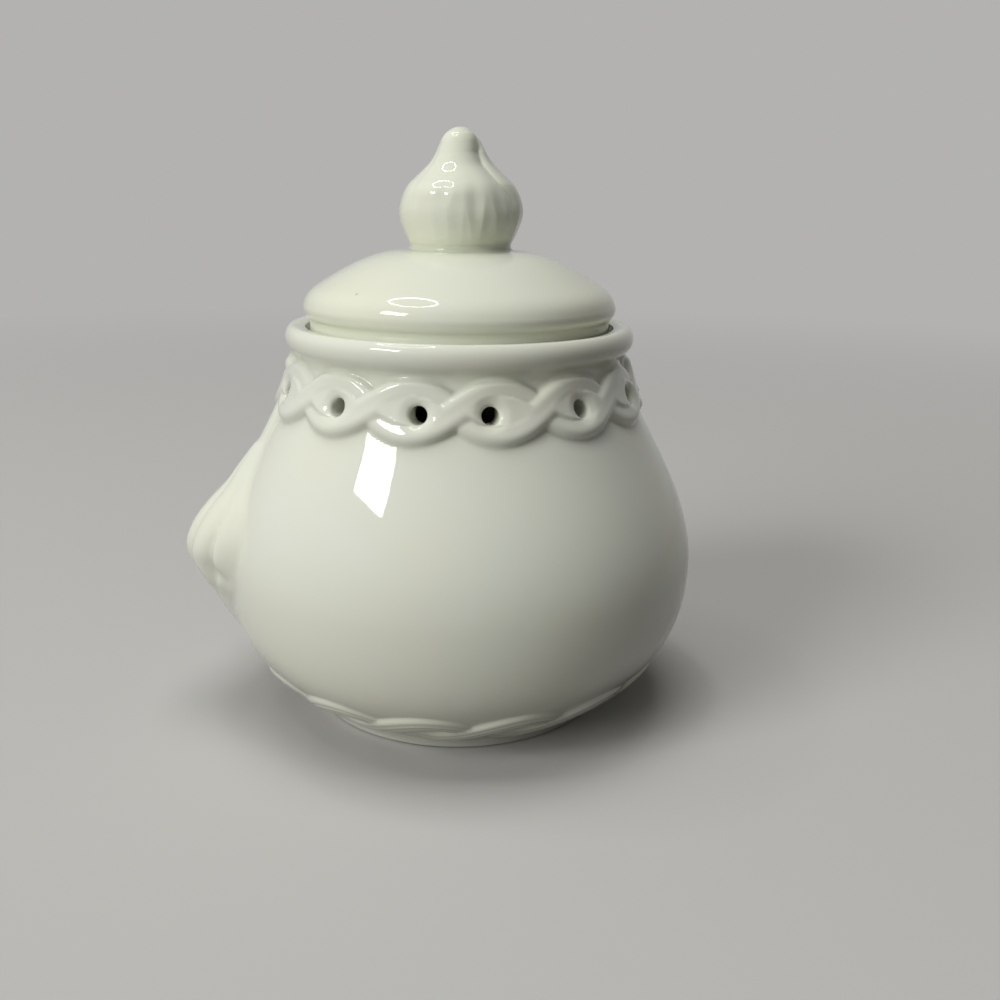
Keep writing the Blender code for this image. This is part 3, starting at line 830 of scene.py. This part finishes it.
# Glaze
def glaze(name, colour, pooled, bare=None):
    """Glossy white glaze, greener in the hollows and thin on the edges, with faint clouds and specks."""
    material = bpy.data.materials.new(name)
    material.use_nodes = True
    tree = material.node_tree
    shader = tree.nodes["Principled BSDF"]
    shader.inputs["IOR"].default_value = 1.52
    shader.inputs["Coat Weight"].default_value = 0.25
    shader.inputs["Coat Roughness"].default_value = 0.03
    place = tree.nodes.new("ShaderNodeTexCoord")

    def mixed(first, second, amount, mode="MIX"):
        mix = tree.nodes.new("ShaderNodeMix")
        mix.data_type = "RGBA"
        mix.blend_type = mode
        for socket, value in ((mix.inputs[6], first), (mix.inputs[7], second), (mix.inputs[0], amount)):
            if isinstance(value, bpy.types.NodeSocket):
                tree.links.new(value, socket)
            elif isinstance(value, tuple):
                socket.default_value = (*value, 1)
            else:
                socket.default_value = value
        return mix.outputs[2]

    def ranged(value, low, high, to_low, to_high):
        spread = tree.nodes.new("ShaderNodeMapRange")
        tree.links.new(value, spread.inputs["Value"])
        for key, number in (("From Min", low), ("From Max", high), ("To Min", to_low), ("To Max", to_high)):
            spread.inputs[key].default_value = number
        return spread.outputs["Result"]

    def noise(scale, detail, roughness=0.5):
        made = tree.nodes.new("ShaderNodeTexNoise")
        made.inputs["Scale"].default_value = scale
        made.inputs["Detail"].default_value = detail
        made.inputs["Roughness"].default_value = roughness
        tree.links.new(place.outputs["Object"], made.inputs["Vector"])
        return made.outputs["Fac"]

    def attribute(key):
        made = tree.nodes.new("ShaderNodeAttribute")
        made.attribute_name = key
        return made.outputs["Fac"]

    cloud = ranged(noise(26, 3), 0.35, 0.68, 0, 1)
    warm = tuple(c * k for c, k in zip(colour, (1.012, 0.998, 0.965)))
    cool = tuple(c * k for c, k in zip(colour, (0.985, 1.0, 1.012)))
    base = mixed(cool, warm, cloud)
    base = mixed(base, pooled, ranged(attribute("glaze_pool"), 0.05, 0.9, 0, 0.75))
    lighter = tuple(min(1, c * 1.04) for c in colour)
    base = mixed(base, lighter, ranged(attribute("glaze_thin"), 0.1, 0.9, 0, 0.6))
    cells = tree.nodes.new("ShaderNodeTexVoronoi")
    cells.inputs["Scale"].default_value = 120
    tree.links.new(place.outputs["Object"], cells.inputs["Vector"])
    near = ranged(cells.outputs["Distance"], 0.05, 0.09, 1, 0)
    rare = tree.nodes.new("ShaderNodeSeparateColor")
    tree.links.new(cells.outputs["Color"], rare.inputs["Color"])
    chosen = ranged(rare.outputs[0], 0.975, 0.98, 0, 1)
    both = tree.nodes.new("ShaderNodeMath")
    both.operation = "MULTIPLY"
    tree.links.new(near, both.inputs[0])
    tree.links.new(chosen, both.inputs[1])
    base = mixed(base, (0.42, 0.40, 0.35), ranged(both.outputs[0], 0, 1, 0, 0.6))
    rough = ranged(noise(60, 2), 0.3, 0.7, 0.025, 0.045)
    if bare:
        spot = tree.nodes.new("ShaderNodeSeparateXYZ")
        tree.links.new(place.outputs["Object"], spot.inputs["Vector"])
        dry = ranged(spot.outputs["Z"], 0.0003, 0.0008, 1, 0)
        base = mixed(base, bare, dry)
        worn = tree.nodes.new("ShaderNodeMix")
        tree.links.new(dry, worn.inputs[0])
        tree.links.new(rough, worn.inputs[2])
        worn.inputs[3].default_value = 0.7
        rough = worn.outputs[0]
    tree.links.new(base, shader.inputs["Base Color"])
    tree.links.new(rough, shader.inputs["Roughness"])
    skin = tree.nodes.new("ShaderNodeBump")
    skin.inputs["Strength"].default_value = 0.35
    skin.inputs["Distance"].default_value = 0.00012
    ripple = tree.nodes.new("ShaderNodeMath")
    ripple.operation = "ADD"
    tree.links.new(noise(95, 1.5), ripple.inputs[0])
    fine = ranged(noise(900, 2), 0, 1, 0, 0.06)
    tree.links.new(fine, ripple.inputs[1])
    tree.links.new(ripple.outputs[0], skin.inputs["Height"])
    tree.links.new(skin.outputs["Normal"], shader.inputs["Normal"])
    return material


def seen_directly(tree, rays):
    """1 for a ray from the camera, or one by way of a mirror or glass."""
    total = rays.outputs["Is Camera Ray"]
    for kind in ("Is Glossy Ray", "Is Transmission Ray"):
        step = tree.nodes.new("ShaderNodeMath")
        step.operation = "MAXIMUM"
        tree.links.new(total, step.inputs[0])
        tree.links.new(rays.outputs[kind], step.inputs[1])
        total = step.outputs[0]
    return total


def backdrop(name, colour, dim, far, near_distance, far_distance):
    """The plain floor: pale where seen, dimmer as a bounce, and one with the backdrop far off."""
    material = bpy.data.materials.new(name)
    material.use_nodes = True
    tree = material.node_tree
    shader = tree.nodes["Principled BSDF"]
    shader.inputs["Roughness"].default_value = 0.8
    rays = tree.nodes.new("ShaderNodeLightPath")
    shown = tree.nodes.new("ShaderNodeMix")
    shown.data_type = "RGBA"
    shown.inputs[6].default_value = (*colour, 1)
    shown.inputs[7].default_value = (*dim, 1)
    seen = seen_directly(tree, rays)
    tree.links.new(rays.outputs["Is Diffuse Ray"], shown.inputs[0])
    tree.links.new(shown.outputs[2], shader.inputs["Base Color"])
    place = tree.nodes.new("ShaderNodeTexCoord")
    length = tree.nodes.new("ShaderNodeVectorMath")
    length.operation = "LENGTH"
    tree.links.new(place.outputs["Object"], length.inputs[0])
    spread = tree.nodes.new("ShaderNodeMapRange")
    spread.interpolation_type = "SMOOTHSTEP"
    spread.inputs["From Min"].default_value = near_distance
    spread.inputs["From Max"].default_value = far_distance
    tree.links.new(length.outputs["Value"], spread.inputs["Value"])
    both = tree.nodes.new("ShaderNodeMath")
    both.operation = "MULTIPLY"
    tree.links.new(spread.outputs["Result"], both.inputs[0])
    tree.links.new(seen, both.inputs[1])
    glow = tree.nodes.new("ShaderNodeEmission")
    glow.inputs["Color"].default_value = (*far, 1)
    mix = tree.nodes.new("ShaderNodeMixShader")
    tree.links.new(both.outputs[0], mix.inputs[0])
    tree.links.new(shader.outputs[0], mix.inputs[1])
    tree.links.new(glow.outputs[0], mix.inputs[2])
    tree.links.new(mix.outputs[0], tree.nodes["Material Output"].inputs["Surface"])
    return material


# The pieces, with their glaze
jar_colour = (0.745, 0.765, 0.670)
jar_pooled = (0.60, 0.63, 0.51)
bare_clay = (0.72, 0.69, 0.63)
lid_colour = (0.755, 0.780, 0.660)
lid_pooled = (0.61, 0.65, 0.51)

jar = make_jar()
jar.data.materials.append(glaze("jar_glaze_finish", jar_colour, jar_pooled, bare_clay))
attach(jar, "jar")
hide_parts("jar")

lid = make_lid()
lid.data.materials.append(glaze("lid_glaze_finish", lid_colour, lid_pooled))
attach(lid, "lid")
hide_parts("lid")

# Plain floor and backdrop
backdrop_colour = (0.45, 0.445, 0.44)
floor_colour = (0.55, 0.545, 0.535)
floor_bounce = (0.16, 0.15, 0.14)
fade_start = 0.20
fade_end = 1.2
floor_drop = 0.0002
floor_half = 3.0
floor_builder = bmesh.new()
bmesh.ops.create_grid(floor_builder, x_segments=1, y_segments=1, size=floor_half)
floor_mesh = bpy.data.meshes.new("floor")
floor_builder.to_mesh(floor_mesh)
floor_builder.free()
floor = bpy.data.objects.new("floor", floor_mesh)
floor.location.z = -floor_drop
bpy.context.scene.collection.objects.link(floor)
floor_mesh.materials.append(
    backdrop("floor_finish", floor_colour, floor_bounce, backdrop_colour, fade_start, fade_end)
)

# Light
world = bpy.data.worlds.new("studio")
world.use_nodes = True
background = world.node_tree.nodes["Background"]
background.inputs["Color"].default_value = (1.0, 0.97, 0.93, 1)
background.inputs["Strength"].default_value = 0.075
seen = world.node_tree.nodes.new("ShaderNodeBackground")
seen.inputs["Color"].default_value = (*backdrop_colour, 1)
rays = world.node_tree.nodes.new("ShaderNodeLightPath")
choice = world.node_tree.nodes.new("ShaderNodeMixShader")
world.node_tree.links.new(seen_directly(world.node_tree, rays), choice.inputs[0])
world.node_tree.links.new(background.outputs[0], choice.inputs[1])
world.node_tree.links.new(seen.outputs[0], choice.inputs[2])
world.node_tree.links.new(choice.outputs[0], world.node_tree.nodes["World Output"].inputs["Surface"])
bpy.context.scene.world = world


def camera_frame(vector):
    """A direction or place given as right, away and up from the photograph's camera, turned to the world."""
    return Matrix.Rotation(photo_azimuth, 3, "Z") @ Vector(vector)


def lamp(name, direction, distance, size, power, colour, mirrored=True):
    """An area lamp that faces the jar's middle from a direction seen from the camera."""
    light = bpy.data.lights.new(name, "AREA")
    light.shape = "RECTANGLE"
    light.size, light.size_y = size
    light.energy = power
    light.color = colour
    middle = Vector((0, 0, jar_height / 2))
    piece = bpy.data.objects.new(name, light)
    piece.location = middle + camera_frame(direction).normalized() * distance
    piece.rotation_euler = (middle - piece.location).to_track_quat("-Z", "Y").to_euler()
    piece.visible_glossy = mirrored
    bpy.context.scene.collection.objects.link(piece)
    return piece


def ring_lamp(name, direction, distance, inner, outer, strength):
    """A flat ring that shines at the jar, seen as a ring in the glaze."""
    steps = 96
    turns = np.arange(steps) * math.tau / steps
    circle = [(math.cos(turn), math.sin(turn)) for turn in turns]
    points = [(radius * x, radius * y, 0) for radius in (inner, outer) for x, y in circle]
    faces = [(i, (i + 1) % steps, steps + (i + 1) % steps, steps + i) for i in range(steps)]
    mesh = bpy.data.meshes.new(name)
    mesh.from_pydata(points, [], faces)
    material = bpy.data.materials.new(name)
    material.use_nodes = True
    tree = material.node_tree
    tree.nodes.clear()
    shine = tree.nodes.new("ShaderNodeEmission")
    shine.inputs["Color"].default_value = (1, 1, 0.97, 1)
    shine.inputs["Strength"].default_value = strength
    output = tree.nodes.new("ShaderNodeOutputMaterial")
    tree.links.new(shine.outputs["Emission"], output.inputs["Surface"])
    mesh.materials.append(material)
    piece = bpy.data.objects.new(name, mesh)
    aim = camera_frame(direction).normalized()
    piece.location = Vector((0, 0, jar_height)) + aim * distance
    piece.rotation_euler = (-aim).to_track_quat("-Z", "Y").to_euler()
    piece.scale = (1.15, 0.74, 1)
    piece.visible_camera = False
    bpy.context.scene.collection.objects.link(piece)
    return piece


lamp("key", (-0.65, -0.48, 0.58), 3.0, (0.95, 0.47), 17, (1, 0.99, 0.96))
ring_lamp("ring", (-0.33, 0.01, 0.945), 1.4, 0.316, 0.354, 15)
lamp("wide", (-0.72, -0.60, 0.34), 3.0, (1.6, 1.6), 47, (1, 1, 0.98), mirrored=False)
lamp("overhead", (0, -0.02, 1.0), 3.0, (1.6, 1.6), 36, (1, 1, 0.98), mirrored=False)

# Camera
cp, sp = math.cos(camera_pitch), math.sin(camera_pitch)
cy, sy = math.cos(camera_yaw), math.sin(camera_yaw)
forward = Vector((sy * cp, cy * cp, -sp))
right = Vector((cy, -sy, 0))
upward = right.cross(forward)
cr, sr = math.cos(camera_roll), math.sin(camera_roll)
right, upward = cr * right + sr * upward, cr * upward - sr * right
axes = [camera_frame(axis) for axis in (right, upward, -forward)]
camera_data = bpy.data.cameras.new("camera")
camera_data.sensor_width = sensor_width
camera_data.lens = focal_pixels / picture_pixels * sensor_width
camera_data.clip_start = 0.01
camera = bpy.data.objects.new("camera", camera_data)
camera.matrix_world = Matrix.Translation(camera_frame((0, -camera_distance, camera_height))) @ Matrix(
    [[axes[column][row] for column in range(3)] for row in range(3)]
).to_4x4()
bpy.context.scene.collection.objects.link(camera)
bpy.context.scene.camera = camera
bpy.context.scene.view_settings.view_transform = "Standard"
